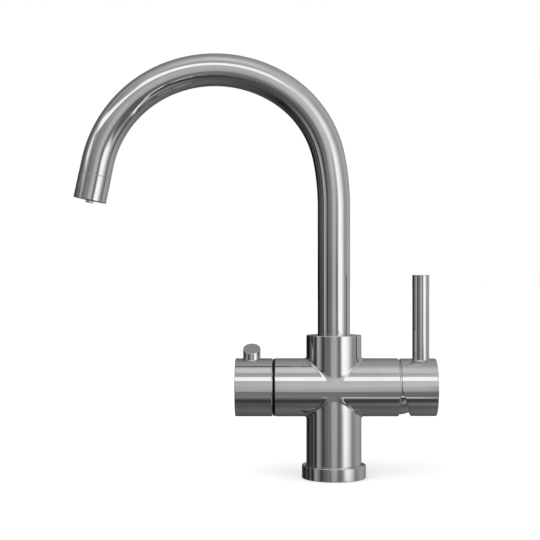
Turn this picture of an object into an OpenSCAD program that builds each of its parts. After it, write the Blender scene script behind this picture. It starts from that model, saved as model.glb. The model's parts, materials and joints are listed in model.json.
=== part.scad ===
// Boiling water tap: a three-way kitchen mixer with a swan-neck spout.
// The right-hand lever mixes hot and cold water. The left-hand knob, with its
// push button lock, lets out boiling water through a tube of its own.
// Millimetres. The origin is on the column's axis at worktop level, +Z is up,
// the lever is on +X, the knob on -X, and the user stands on the -Y side.

/* [Body] */
// Diameter of the upright column
column_d = 47.6; // [46:0.2:49.4]
// Height of the collar's top above the worktop
collar_top = 122.8; // [118:0.2:140]
// Diameter of the horizontal arm
arm_d = 50.1; // [49.8:0.1:53]
// Height of the arm's axis above the worktop
arm_z = 77.6; // [76.6:0.2:79]
// Reach of the arm on the knob's side, from the column's axis
arm_left = 50.9; // [50:0.1:60]
// Reach of the arm on the lever's side, from the column's axis
arm_right = 55.5; // [54.5:0.1:64]
// Chamfer on the outer edges of the casting, knob and cap
edge = 0.7; // [0.4:0.1:0.8]
// Diameter of the base ring
base_d = 55.2; // [54.6:0.2:60]
// Height of the base ring
base_h = 11.1; // [8:0.1:14]
// Height of the rubber gasket under the base ring
gasket_h = 2; // [1.5:0.1:3]

/* [Spout] */
// Outer diameter of the spout tube
spout_d = 28; // [27.2:0.1:28.6]
// Wall of the spout tube
spout_wall = 1.2; // [1:0.1:1.5]
// Straight rise of the spout above the collar
spout_rise = 110.2; // [80:0.2:140]
// Radius of the first, easy part of the bend
bend_r1 = 217.1; // [180:0.1:260]
// Turn of the first part of the bend, in degrees
bend_a1 = 11.2; // [8:0.1:14]
// Radius of the second part of the bend
bend_r2 = 92; // [85:0.1:110]
// Turn of the second part of the bend, in degrees
bend_a2 = 46.8; // [40:0.1:52]
// Radius of the crown of the bend
bend_r3 = 107.7; // [95:0.1:120]
// Turn of the crown of the bend, in degrees
bend_a3 = 53.2; // [48:0.1:58]
// Radius of the last part of the bend
bend_r4 = 101.3; // [90:0.1:115]
// Turn of the last part of the bend, in degrees
bend_a4 = 56.9; // [50:0.1:60]
// Straight run between the bend and the end sleeve
tip_run = 10.5; // [9:0.1:20]
// Length of the end sleeve
sleeve_l = 22; // [20.5:0.1:30]
// Outer diameter of the end sleeve
sleeve_d = 28.3; // [27.8:0.1:29.4]
// Outer diameter of the boiling water tube inside the spout
hot_tube_d = 8; // [7.6:0.1:9]
// Wall of the boiling water tube
hot_tube_wall = 1.2; // [1:0.1:1.3]
// Outer diameter of the boiling water nozzle
nozzle_d = 6.5; // [6.1:0.1:7.2]
// How far the nozzle stands out of the spout's end
nozzle_proud = 2.2; // [1:0.1:4]

/* [Mixer lever] */
// Diameter of the cap that the lever stands on
cap_d = 49.7; // [49.5:0.1:52]
// Length of the cap
cap_l = 31; // [31:0.1:40]
// Gap between the arm's end and the cap, at the top
cap_gap = 1.5; // [1.2:0.1:3]
// Angle of the cap's slanted lower edge, which makes room for the tilt
cap_relief = 20; // [20:0.5:24]
// Radius of the round dome under the cap
dome_r = 23.4; // [23.2:0.05:23.7]
// Diameter of the lever rod
rod_d = 14.7; // [12:0.1:17]
// Height of the lever rod's top above the arm's axis
rod_top = 97; // [70:0.5:130]
// Distance of the lever rod's axis from the cap's outer face
rod_inset = 12.9; // [12.5:0.1:15]
// Width of the cartridge's square stem
stem_w = 8; // [7:0.1:8.4]

/* [Boiling water knob] */
// Diameter of the knob
knob_d = 50; // [49.6:0.1:53]
// Length of the knob
knob_l = 31; // [31:0.1:40]
// Running gap between the red ring and the knob
knob_gap = 0.5; // [0.3:0.1:0.8]
// Width of the red ring
ring_w = 2.5; // [1.5:0.1:3.5]
// Outer diameter of the red ring
ring_d = 49.3; // [47:0.1:49.5]
// Diameter of the safety button
button_d = 15; // [14:0.1:16]
// Distance of the safety button's axis from the knob's outer face
button_inset = 14.1; // [14:0.1:16]
// Height of the button's middle above the knob
button_rise = 8.5; // [8:0.1:12]
// Slope of the button's top, down towards the user, in degrees
button_slope = 28; // [0:1:30]
// Travel of the safety button
button_travel = 3; // [2:0.1:3.2]
// Diameter of the valve spindle
spindle_d = 8; // [7:0.1:8.4]

/* [Underside] */
// Thread diameter of the hose inlets
port_d = 10; // [8:0.5:10]
// Depth of the hose inlets
port_depth = 14; // [10:0.5:20]
// Distance of the hot and cold inlets from the axis, across
port_x = 12.5; // [12:0.1:12.8]
// Distance of the hot and cold inlets from the axis, front to back
port_y = 7; // [6.5:0.1:8]
// Thread diameter of the fixing stud holes
stud_d = 8; // [6:0.5:8]
// Depth of the fixing stud holes
stud_depth = 16; // [10:0.5:20]
// Spacing of the two fixing studs, front to back
stud_pitch = 30; // [30:0.2:32]

/* [Fits] */
// Radial clearance of the turning spout in its socket
swivel_clear = 0.08; // [0.04:0.01:0.1]
// Radial clearance of pins, spindles and screws in their holes
pin_clear = 0.05; // [0.03:0.01:0.08]
// Clearance of parts that are only pushed together
slip = 0.15; // [0.1:0.01:0.2]
// Gap between parts that move past each other
run = 0.3; // [0.25:0.01:0.35]

/* [Hidden] */
$fn = 96;

chrome = "#b9bdc1";
brass = "#b8954f";
steel = "#9da1a5";
rubber = "#26282a";
ceramic = "#ece9e2";
polymer = "#e6e4de";
red = "#7a0a18";
eps = 0.01;
far = 400;

// Body
column_r = column_d / 2;
arm_r = arm_d / 2;
base_r = base_d / 2;
port_r = port_d / 2;
stud_r = stud_d / 2;
passage_r = 3;
base_wall = 3.75;
foot_r = base_r - base_wall - pin_clear;
gasket_inset = 1;
gasket_in = foot_r + slip;
gasket_out = base_r - gasket_inset;

// Spout socket in the collar, from the collar's top down
spout_r = spout_d / 2;
socket_r = spout_r + swivel_clear;
socket_l = 27.8;
socket_z = collar_top - socket_l;
tube_sunk = 4;
tube_z = collar_top - tube_sunk;
tube_bore_r = spout_r - spout_wall;
stem_z = socket_z + run;
stem_plug_l = 14;
stem_bore_r = 9;
stem_groove_cut = 0.2;
stem_groove_r = tube_bore_r - stem_groove_cut;
bush_drop = 5;
bush_z = tube_z - bush_drop;
bush_h = 4;
lock_groove_drop = 3;
lock_groove_z = bush_z - lock_groove_drop;
lock_groove_h = 4.2;
o_ring_r = 0.95;
o_ring_low = 3;
o_ring_pitch = 5;
o_ring_z = [stem_z + o_ring_low, stem_z + o_ring_low + o_ring_pitch];
o_ring_mid_r = spout_r - o_ring_r;
hot_tube_r = hot_tube_d / 2;
hot_seat_depth = 6;
hot_seal_w = 1.6;
hot_seal_h = 2.5;
hot_seal_drop = 4;
hot_seat_r = hot_tube_r + hot_seal_w;
grub_r = 2.5;
grub_l = 7;
dog_r = 1.6;

// Swan neck: headings at the joints of the four arcs, turning from +Z to -X
bend_z = collar_top + spout_rise;
bend_r = [bend_r1, bend_r2, bend_r3, bend_r4];
bend_a = [bend_a1, bend_a2, bend_a3, bend_a4];
function heading(i) = i == 0 ? 0 : heading(i - 1) + bend_a[i - 1];
function arc_step(i) = bend_r[i] * [
  cos(heading(i + 1)) - cos(heading(i)), 0, sin(heading(i + 1)) - sin(heading(i))
];
function arc_start(i) = i == 0 ? [0, 0, bend_z] : arc_start(i - 1) + arc_step(i - 1);
function arc_centre(i) = arc_start(i) - bend_r[i] * [cos(heading(i)), 0, sin(heading(i))];
tip_heading = heading(4);
flow = [-sin(tip_heading), 0, cos(tip_heading)];
tip = arc_start(4) + (tip_run + sleeve_l) * flow;
seam_gap = 0.1;
seam_w = 0.8;
seam_bead = 0.02;

// Spout outlet, measured back from the tip along the flow
sleeve_plug_l = 6;
sleeve_wall = 1.1;
sleeve_bore_r = sleeve_d / 2 - sleeve_wall;
sleeve_ledge_r = 11;
aerator_recess = 1.2;
aerator_l = 14;
aerator_r = sleeve_bore_r - slip;
aerator_wall = 1.4;
aerator_seal_h = 2;
grille_h = 3;
grille_recess = 0.8;
grille_holes = [10, 16, 22];
grille_hole_r = 0.6;
grille_row_r = 5.4;
grille_row_pitch = 2.2;
nozzle_r = nozzle_d / 2;
nozzle_l = 6;
nozzle_bore_r = 1.8;
barb_l = 8;

// Mixer side, measured along +X
pivot_inset = 0.2;
pivot_x = arm_right - pivot_inset;
chamber_l = 32.5;
chamber_x = arm_right - chamber_l;
chamber_r = 17.7;
mixed_rise = 8.5;
nut_depth = 8.5;
nut_x = arm_right - nut_depth;
nut_chamber_r = 21.6;
nut_l = 4.5;
nut_thread_r = nut_chamber_r - slip;
slot_l = 2.4;
slot_w = 3;
slot_depth = 1.5;
housing_fit = 0.2;
housing_r = chamber_r - housing_fit;
housing_step = 0.9;
housing_neck_r = housing_r - housing_step;
floor_seal_h = 1;
housing_x = chamber_x + floor_seal_h;
housing_floor = 7;
housing_bore_r = 15.4;
housing_lip_r = 13;
housing_neck_l = 5;
housing_end_x = nut_x + housing_neck_l;
lip_h = 2;
seal_r = 4.4;
seal_fit = 0.2;
disc_x = housing_x + housing_floor;
disc_h = 4.5;
disc_port_r = 2.7;
moving_disc_r = 12.4;
moving_disc_rest = -2.1;
pocket_r = 7.5;
pocket_h = 2.5;
ball_r = 2.4;
ball_fit = 0.2;
ball_floor = 0.8;
ball_neck_r = 1.7;
ball_reach = 12;
ball_x = pivot_x - ball_reach;
drive_boss_r = 5;
carrier_inset = 2.3;
carrier_x = ball_x + carrier_inset;
ear_reach = 4.7;
carrier_end_x = pivot_x + ear_reach;
ear_in = stem_w / 2 + run;
ear_t = 5;
pin_r = 2;
eye_r = 5;
dome_wall = 1.5;
dome_opening_r = 16;
dome_cut = 15.9;
cap_r = cap_d / 2;
cap_x = arm_right + cap_gap;
cap_end_x = cap_x + cap_l;
cavity_gap = 0.5;
cap_cavity_r = dome_r + cavity_gap;
hub_r = 8;
hub_reach = 14.2;
hub_x = pivot_x + hub_reach;
cap_face = 5;
stem_end_x = cap_end_x - cap_face;
rod_r = rod_d / 2;
rod_x = cap_end_x - rod_inset;
rod_sunk = 1.85;
rod_seat = cap_r - rod_sunk;
rod_stud_r = 3;
rod_stud_l = 5;
cap_screw_back = 3.5;
cap_screw_x = stem_end_x - cap_screw_back;
cap_screw_l = 8;

// Boiling side, measured along -X
spigot_r = 20;
spigot_l = 6;
valve_x = 17;
valve_thread_r = 10.6;
valve_mouth_l = 6.9;
valve_mouth_x = arm_left - valve_mouth_l;
valve_mouth_r = 16;
valve_seal_h = 2;
valve_seal_in = 6;
valve_seal_fit = 0.3;
valve_disc_hub = 2.2;
valve_disc_rim = 1.2;
valve_disc_r = 8.2;
valve_disc_h = 3;
valve_hex = 27;
valve_hex_h = 6;
valve_neck_r = 7.5;
valve_neck_l = 10;
spindle_r = spindle_d / 2;
ring_r = ring_d / 2;
knob_r = knob_d / 2;
knob_x = arm_left + ring_w + knob_gap;
knob_end_x = knob_x + knob_l;
knob_mouth_r = 22;
knob_mouth_l = 6.2;
collar_r = 11;
knob_bore_r = collar_r + run;
knob_face = 3.9;
spindle_end_x = knob_end_x - knob_face;
collar_back = 5.5;
collar_end_x = spindle_end_x - collar_back;
glide_l = 2.5;
button_r = button_d / 2;
button_x = knob_end_x - button_inset;
button_pocket = 15.8;
button_lift = 0.2;
button_under = button_pocket + button_travel + button_lift;
button_stem_r = 2.5;
foot_depth = 2.3;
button_foot = collar_r - foot_depth;
clip_r = 3.6;
clip_h = 0.6;
clip_rise = 1.1;
clip_level = button_foot + clip_rise;
track_floor = button_foot - button_travel - run;
track_w = 2 * (clip_r + 2 * run);
track_from = -28;
track_turn = 146;
spring_step = 1;
spring_seat = knob_bore_r + spring_step;
spring_r = 4.2;
spring_wire = 0.7;
spring_turns = 4;
spring_pocket_r = spring_r + spring_wire / 2 + 2 * slip;
knob_screw_r = 2.1;
knob_screw_back = 2.5;
knob_screw_x = spindle_end_x - knob_screw_back;
knob_screw_l = 6;

// A turned disc or rod with chamfered edges, along +Z
module turned(r, h, low = 0, high = 0) {
  rotate_extrude()
    polygon([[0, 0], [r - low, 0], [r, low], [r, h - high], [r - high, h], [0, h]]);
}

// A plain ring along +Z
module ring(outer, inner, h) {
  difference() {
    cylinder(r = outer, h = h);
    translate([0, 0, -1]) cylinder(r = inner, h = h + 2);
  }
}

// Places children on the arm's axis, with their +Z along the lever's side
module on_arm(x) {
  translate([x, 0, arm_z]) rotate([0, 90, 0]) children();
}

// Places children on the arm's axis, with their +Z along the knob's side
module on_arm_left(x) {
  translate([-x, 0, arm_z]) rotate([0, -90, 0]) children();
}

// Places children at a distance along the flow from the spout's tip
module at_tip(along = 0) {
  translate(tip + along * flow) rotate([0, -tip_heading, 0]) children();
}

// Tube along the swan neck, from start_z to end_back before the tip. Its runs
// stop just short of each other, and a narrow welded seam joins them.
module neck_tube(outer, inner, start_z, end_back) {
  translate([0, 0, start_z]) ring(outer, inner, bend_z - seam_gap - start_z);
  for (i = [0 : 3]) {
    trim = atan(seam_gap / bend_r[i]);
    translate(arc_centre(i))
      rotate([90, 0, 0])
        rotate_extrude(angle = bend_a[i] - 2 * trim, start = heading(i) + trim)
          translate([bend_r[i], 0])
            difference() {
              circle(r = outer);
              circle(r = inner);
            }
  }
  for (i = [0 : 4])
    translate(arc_start(i))
      rotate([0, -heading(i), 0])
        translate([0, 0, -seam_w / 2]) ring(outer + seam_bead, inner - seam_bead, seam_w);
  translate(arc_start(4))
    rotate([0, -tip_heading, 0])
      translate([0, 0, seam_gap]) ring(outer, inner, tip_run + sleeve_l - end_back - seam_gap);
}

// A set screw along +Z with a hexagon socket in its far end
module set_screw(r, l, socket = 2.5) {
  difference() {
    turned(r, l, 0.4, 0.3);
    translate([0, 0, l - 2]) cylinder(d = socket / cos(30), h = 3, $fn = 6);
  }
}

// Water passages drilled in the casting
module passages() {
  // Hot water rises on the left and cold water on the right
  for (side = [-1, 1]) {
    translate([side * port_x, side * port_y, -1]) cylinder(r = port_r, h = port_depth + 1);
    translate([side * port_x, side * port_y, 0]) cylinder(r = passage_r, h = arm_z - port_y);
  }
  hot_run = chamber_x + port_x + 1;
  translate([-port_x, -port_y, arm_z - port_y])
    rotate([0, 90, 0]) cylinder(r = passage_r, h = hot_run);
  cold_run = chamber_x - port_x + 1;
  translate([port_x, port_y, arm_z - port_y])
    rotate([0, 90, 0]) cylinder(r = passage_r, h = cold_run);
  // Mixed water goes from the cartridge up into the spout's socket
  mixed_x = 10;
  mixed_z = arm_z + mixed_rise;
  translate([mixed_x, 0, mixed_z])
    rotate([0, 90, 0]) cylinder(r = passage_r, h = chamber_x - mixed_x + 1);
  translate([mixed_x, 0, mixed_z]) cylinder(r = passage_r, h = socket_z - mixed_z + 1);
  // Boiling water rises in the middle, passes the valve and goes on to its own tube
  boiling_z = arm_z - 4;
  return_z = arm_z + 7;
  translate([0, 0, -1]) cylinder(r = port_r, h = port_depth + 1);
  cylinder(r = 2.5, h = boiling_z);
  translate([0, 0, boiling_z]) rotate([0, -90, 0]) cylinder(r = 2.5, h = valve_x + 1);
  translate([0, 0, return_z]) rotate([0, -90, 0]) cylinder(r = 2.5, h = valve_x + 4);
  translate([0, 0, return_z]) cylinder(r = 2.5, h = socket_z - return_z);
}

module body_casting() {
  color(chrome)
    difference() {
      union() {
        cylinder(r = foot_r, h = base_h);
        translate([0, 0, base_h]) turned(column_r, collar_top - base_h, 0, edge);
        on_arm(-arm_left) turned(arm_r, arm_left + arm_right, edge, edge);
        on_arm_left(arm_left - 1) cylinder(r = spigot_r, h = spigot_l + 1);
      }
      // Socket of the spout, with the seat of the boiling water tube under it
      translate([0, 0, socket_z]) cylinder(r = socket_r, h = socket_l + 1);
      translate([0, 0, socket_z - hot_seat_depth]) cylinder(r = hot_seat_r, h = hot_seat_depth + 1);
      // Chamber of the mixer cartridge and its nut
      on_arm(chamber_x) cylinder(r = chamber_r, h = far);
      on_arm(nut_x) cylinder(r = nut_chamber_r, h = far);
      // Chamber of the boiling water valve
      on_arm_left(valve_x) cylinder(r = valve_thread_r, h = far);
      on_arm_left(valve_mouth_x) cylinder(r = valve_mouth_r, h = far);
      passages();
      for (side = [-1, 1])
        translate([0, side * stud_pitch / 2, -1]) cylinder(r = stud_r, h = stud_depth + 1);
      // Tapped hole of the screw that keeps the spout in, at the back of the collar
      translate([0, 0, lock_groove_z]) rotate([-90, 0, 0]) cylinder(r = grub_r, h = far);
    }
}

module base_ring() {
  color(chrome)
    difference() {
      turned(base_r, base_h, 0.4, edge);
      translate([0, 0, -1]) cylinder(r = foot_r + pin_clear, h = base_h + 2);
      translate([0, 0, -1]) cylinder(r = gasket_out + pin_clear, h = gasket_h + 1);
    }
}

module base_gasket() {
  color(rubber) ring(gasket_out, gasket_in, gasket_h);
}

// Ring that seals the foot of the boiling water tube in the casting
module hot_tube_seal() {
  color(rubber)
    translate([0, 0, socket_z - hot_seal_drop])
      ring(hot_seat_r - pin_clear, hot_tube_r + swivel_clear, hot_seal_h);
}

// Set screw with a dog point that reaches into the spout stem's groove
module spout_grub_screw() {
  color(steel)
    translate([0, 0, lock_groove_z]) rotate([-90, 0, 0]) {
      translate([0, 0, stem_groove_r + run]) cylinder(r = dog_r, h = socket_r - stem_groove_r);
      translate([0, 0, socket_r + run]) set_screw(grub_r - pin_clear, grub_l);
    }
}

// Centres of the three ports in the cartridge's floor: hot, cold and mixed
port_places = [[port_y, -port_y], [port_y, port_y], [-mixed_rise, 0]];

module cartridge_housing() {
  color(polymer)
    difference() {
      union() {
        on_arm(housing_x) turned(housing_r, nut_x - housing_x, 0.5, 0);
        on_arm(nut_x - 1) turned(housing_neck_r, housing_end_x - nut_x + 1, 0, 0.5);
      }
      on_arm(disc_x) cylinder(r = housing_bore_r, h = housing_end_x - lip_h - disc_x);
      on_arm(disc_x) cylinder(r = housing_lip_r, h = far);
      for (place = port_places)
        on_arm(housing_x - 1) translate(place) cylinder(r = passage_r, h = housing_floor + 2);
    }
}

module cartridge_seals() {
  color(rubber)
    for (place = port_places)
      on_arm(chamber_x) translate(place) ring(seal_r, passage_r + seal_fit, floor_seal_h);
}

module fixed_disc() {
  color(ceramic)
    difference() {
      on_arm(disc_x) cylinder(r = housing_bore_r - slip, h = disc_h);
      for (place = port_places)
        on_arm(disc_x - 1) translate(place) cylinder(r = disc_port_r, h = disc_h + 2);
    }
}

module cartridge_nut() {
  color(brass)
    on_arm(nut_x)
      difference() {
        turned(nut_thread_r, nut_l, 0.5, 0);
        translate([0, 0, -1]) cylinder(r = housing_neck_r + slip, h = nut_l + 2);
        // Six slots for the fitting key
        for (turn = [0 : 60 : 300])
          rotate([0, 0, turn])
            translate([housing_neck_r, -slot_w / 2, nut_l - slot_depth])
              cube([slot_l, slot_w, slot_depth + 1]);
      }
}

// Round cover over the cartridge; its skirt is screwed into the arm's end
module dome_cover() {
  skirt_x = nut_x + nut_l;
  color(chrome)
    difference() {
      union() {
        difference() {
          intersection() {
            on_arm(pivot_x) sphere(r = dome_r);
            on_arm(arm_right + eps) cylinder(r = far, h = dome_cut);
          }
          on_arm(pivot_x) sphere(r = dome_r - dome_wall);
        }
        // Flange in the dome's foot, which carries the skirt
        on_arm(arm_right + eps) cylinder(r = dome_r - dome_wall / 2, h = dome_wall);
        on_arm(skirt_x) cylinder(r = nut_thread_r, h = arm_right + dome_wall - skirt_x);
      }
      on_arm(skirt_x - 1) cylinder(r = nut_thread_r - dome_wall, h = arm_right + dome_wall - skirt_x + 2);
      on_arm(pivot_x) cylinder(r = dome_opening_r, h = far);
    }
}

module valve_housing() {
  color(brass)
    difference() {
      union() {
        on_arm_left(valve_x + valve_seal_h)
          turned(valve_thread_r - pin_clear, valve_mouth_x - valve_x - valve_seal_h, 0.6, 0);
        on_arm_left(valve_mouth_x) cylinder(d = valve_hex / cos(30), h = valve_hex_h, $fn = 6);
        on_arm_left(valve_mouth_x + valve_hex_h - 1) turned(valve_neck_r, valve_neck_l + 1, 0, 0.5);
      }
      on_arm_left(valve_x) cylinder(r = valve_disc_r + slip, h = valve_seal_h + 3 * valve_disc_h);
      on_arm_left(valve_x) cylinder(r = spindle_r + pin_clear, h = far);
      // Window that lets the boiling water out to the spout
      translate([-valve_x - valve_seal_h - 3, 0, arm_z + valve_disc_r - 2]) cylinder(r = 2, h = 6);
    }
}

module valve_seal() {
  color(rubber) on_arm_left(valve_x) ring(valve_thread_r - valve_seal_fit, valve_seal_in, valve_seal_h);
}

// Ceramic disc with two openings, each a quarter of the way round
module quarter_disc(r, h, hub) {
  difference() {
    cylinder(r = r, h = h);
    for (turn = [0, 180])
      rotate([0, 0, turn])
        translate([0, 0, -1])
          rotate_extrude(angle = 84, start = -42)
            translate([hub, 0]) square([r - hub - valve_disc_rim, h + 2]);
  }
}

module valve_fixed_disc() {
  color(ceramic)
    on_arm_left(valve_x + valve_seal_h) quarter_disc(valve_disc_r, valve_disc_h, valve_disc_hub);
}

module valve_moving_disc() {
  color(ceramic)
    on_arm_left(valve_x + valve_seal_h + valve_disc_h)
      rotate([0, 0, 90]) quarter_disc(valve_disc_r, valve_disc_h, valve_disc_hub);
}

// Fixed sleeve round the spindle, with the track that the button's foot runs in
module lock_collar() {
  collar_x = valve_mouth_x + valve_hex_h;
  neck_l = valve_neck_l + 0.2;
  color(brass)
    difference() {
      on_arm_left(collar_x) turned(collar_r, collar_end_x - collar_x, 0.5, 0.5);
      on_arm_left(collar_x - 1) cylinder(r = valve_neck_r + pin_clear, h = neck_l + 1);
      on_arm_left(collar_x) cylinder(r = spindle_r + run, h = far);
      // The track starts under the button and runs a quarter turn to the front
      translate([-button_x, 0, arm_z])
        rotate([90, 0, 90])
          rotate_extrude(angle = track_turn, start = 90 + track_from)
            translate([track_floor, -track_w / 2]) square([collar_r, track_w]);
    }
}

module red_ring() {
  color(red)
    on_arm_left(arm_left)
      difference() {
        turned(ring_r, ring_w, 0.2, 0.2);
        translate([0, 0, -1]) cylinder(r = spigot_r + pin_clear, h = ring_w + 2);
      }
}

module spout_tube() {
  color(chrome) neck_tube(spout_r, tube_bore_r, tube_z, sleeve_l);
}

// Brass stem that plugs into the foot of the tube and turns in the collar
module spout_stem() {
  color(brass)
    translate([0, 0, stem_z])
      difference() {
        union() {
          turned(spout_r, tube_z - stem_z, 0.8, 0);
          cylinder(r = tube_bore_r - pin_clear, h = tube_z - stem_z + stem_plug_l);
        }
        translate([0, 0, -1]) cylinder(r = stem_bore_r, h = far);
        for (z = o_ring_z)
          translate([0, 0, z - stem_z - 1.15]) ring(spout_r + 1, spout_r - 2 * o_ring_r - pin_clear, 2.3);
        translate([0, 0, lock_groove_z - lock_groove_h / 2 - stem_z])
          ring(spout_r + 1, stem_groove_r, lock_groove_h);
        translate([0, 0, bush_z - stem_z]) ring(spout_r + 1, stem_groove_r, bush_h);
      }
}

module spout_o_rings() {
  color(rubber)
    for (z = o_ring_z)
      translate([0, 0, z]) rotate_extrude() translate([o_ring_mid_r, 0]) circle(r = o_ring_r);
}

// Split bush that the spout turns on
module swivel_bush() {
  color(polymer)
    translate([0, 0, bush_z])
      difference() {
        ring(spout_r, stem_groove_r + pin_clear, bush_h);
        translate([stem_groove_r - 1, -0.6, -1]) cube([4, 1.2, bush_h + 2]);
      }
}

// Boiling water tube, down the middle of the spout from end to end
module hot_tube() {
  foot_z = socket_z - hot_seat_depth + run;
  color(polymer) neck_tube(hot_tube_r, hot_tube_r - hot_tube_wall, foot_z, nozzle_l);
}

module end_sleeve() {
  ledge = aerator_recess + aerator_l + aerator_seal_h;
  color(chrome)
    at_tip(-sleeve_l)
      difference() {
        union() {
          turned(sleeve_d / 2, sleeve_l, 0.3, 0.5);
          translate([0, 0, -sleeve_plug_l]) cylinder(r = tube_bore_r - pin_clear, h = sleeve_plug_l + 1);
        }
        translate([0, 0, -sleeve_plug_l - 1]) cylinder(r = sleeve_ledge_r, h = far);
        translate([0, 0, sleeve_l - ledge]) cylinder(r = sleeve_bore_r, h = far);
      }
}

module aerator_seal() {
  color(rubber)
    at_tip(-aerator_recess - aerator_l - aerator_seal_h + pin_clear)
      ring(aerator_r, sleeve_ledge_r - 1, aerator_seal_h - 2 * pin_clear);
}

module aerator_housing() {
  color(polymer)
    at_tip(-aerator_recess - aerator_l)
      difference() {
        turned(aerator_r, aerator_l, 0.4, 0.4);
        translate([0, 0, -1]) cylinder(r = aerator_r - aerator_wall, h = far);
      }
}

// Grille of the aerator, with rings of holes round the boiling water nozzle
module aerator_grille() {
  grille_r = aerator_r - aerator_wall - pin_clear;
  color(steel)
    at_tip(-aerator_recess - grille_recess - grille_h)
      difference() {
        cylinder(r = grille_r, h = grille_h);
        translate([0, 0, -1]) cylinder(r = nozzle_r + pin_clear, h = grille_h + 2);
        for (row = [0 : 2])
          for (k = [0 : grille_holes[row] - 1])
            rotate([0, 0, k * 360 / grille_holes[row]])
              translate([grille_row_r + row * grille_row_pitch, 0, -1])
                cylinder(r = grille_hole_r, h = grille_h + 2, $fn = 24);
      }
}

module hot_nozzle() {
  color(chrome)
    at_tip(-nozzle_l)
      difference() {
        union() {
          turned(nozzle_r, nozzle_l + nozzle_proud, 0, 0.5);
          translate([0, 0, -barb_l])
            turned(hot_tube_r - hot_tube_wall - pin_clear, barb_l + 1, 0.5, 0);
        }
        translate([0, 0, -barb_l - 1]) cylinder(r = nozzle_bore_r, h = far);
      }
}

// Turret of the cartridge, which turns with the lever and carries its pin
module cartridge_carrier() {
  color(polymer)
    difference() {
      union() {
        on_arm(carrier_x)
          cylinder(r = housing_bore_r - pin_clear, h = housing_end_x - lip_h - carrier_x - run);
        on_arm(carrier_x) cylinder(r = housing_lip_r - run, h = housing_end_x + 0.6 - carrier_x);
        for (side = [-1, 1])
          translate([carrier_x, side * (ear_in + ear_t / 2) - ear_t / 2, arm_z - eye_r])
            cube([carrier_end_x - carrier_x, ear_t, 2 * eye_r]);
      }
      // Slot for the stem, and the cross hole for its pin
      translate([carrier_x - 1, -ear_in, arm_z - eye_r - 2.5])
        cube([carrier_end_x - carrier_x + 2, 2 * ear_in, 2 * eye_r + 5]);
      translate([pivot_x, -far / 2, arm_z]) rotate([-90, 0, 0]) cylinder(r = pin_r + pin_clear, h = far);
    }
}

module pivot_pin() {
  pin_l = 2 * (ear_in + ear_t);
  color(steel)
    translate([pivot_x, -pin_l / 2, arm_z]) rotate([-90, 0, 0]) turned(pin_r, pin_l, 0.3, 0.3);
}

// Sliding ceramic disc with the socket that the stem's ball drives
module moving_disc() {
  color(ceramic)
    difference() {
      union() {
        on_arm(disc_x + disc_h)
          translate([-moving_disc_rest, 0, 0]) cylinder(r = moving_disc_r, h = disc_h);
        on_arm(disc_x + disc_h) cylinder(r = drive_boss_r, h = carrier_x - run - disc_x - disc_h);
      }
      // Mixing pocket in the face that meets the fixed disc
      on_arm(disc_x + disc_h - 1) translate([-moving_disc_rest, 0, 0]) cylinder(r = pocket_r, h = pocket_h);
      on_arm(ball_x - ball_r - ball_floor) cylinder(r = ball_r + ball_fit, h = far);
    }
}

// Stem that tilts about its pin: a ball inside, a square shank outside
module cartridge_stem() {
  color(steel)
    difference() {
      union() {
        translate([ball_x, 0, arm_z]) sphere(r = ball_r);
        on_arm(ball_x) cylinder(r = ball_neck_r, h = pivot_x - ball_x);
        translate([pivot_x, -stem_w / 2, arm_z]) rotate([-90, 0, 0]) cylinder(r = eye_r, h = stem_w);
        translate([pivot_x, -stem_w / 2, arm_z - stem_w / 2])
          cube([stem_end_x - pivot_x, stem_w, stem_w]);
      }
      translate([pivot_x, -far / 2, arm_z]) rotate([-90, 0, 0]) cylinder(r = pin_r + pin_clear, h = far);
    }
}

module handle_cap() {
  socket_w = stem_w + 2 * slip;
  color(chrome)
    difference() {
      union() {
        difference() {
          on_arm(cap_x) turned(cap_r, cap_l, 0.3, edge);
          on_arm(pivot_x) sphere(r = cap_cavity_r);
        }
        on_arm(hub_x) turned(hub_r, cap_end_x - 1 - hub_x, 0.5, 0);
      }
      // Slanted lower edge
      translate([cap_x, 0, arm_z])
        rotate([0, -cap_relief, 0]) translate([-far, -far / 2, -far / 2]) cube([far, far, far]);
      // Square socket for the stem
      translate([hub_x - 1, -socket_w / 2, arm_z - socket_w / 2])
        cube([stem_end_x + slip - hub_x + 1, socket_w, socket_w]);
      // Seat and tapped hole of the lever rod
      translate([rod_x, 0, arm_z + rod_seat]) cylinder(r = rod_r + pin_clear, h = far);
      translate([rod_x, 0, arm_z + rod_seat - rod_stud_l - 0.2]) cylinder(r = rod_stud_r, h = far);
      // Tapped hole of the set screw, in the underside
      translate([cap_screw_x, 0, arm_z - far]) cylinder(r = grub_r, h = far);
    }
}

module lever_rod() {
  color(chrome)
    translate([rod_x, 0, arm_z + rod_seat]) {
      turned(rod_r, rod_top - rod_seat, 0, 0.5);
      translate([0, 0, -rod_stud_l]) turned(rod_stud_r - pin_clear, rod_stud_l + 1, 0.4, 0);
    }
}

module handle_grub_screw() {
  color(steel)
    translate([cap_screw_x, 0, arm_z - stem_w / 2])
      rotate([180, 0, 0]) set_screw(grub_r - pin_clear, cap_screw_l);
}

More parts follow.
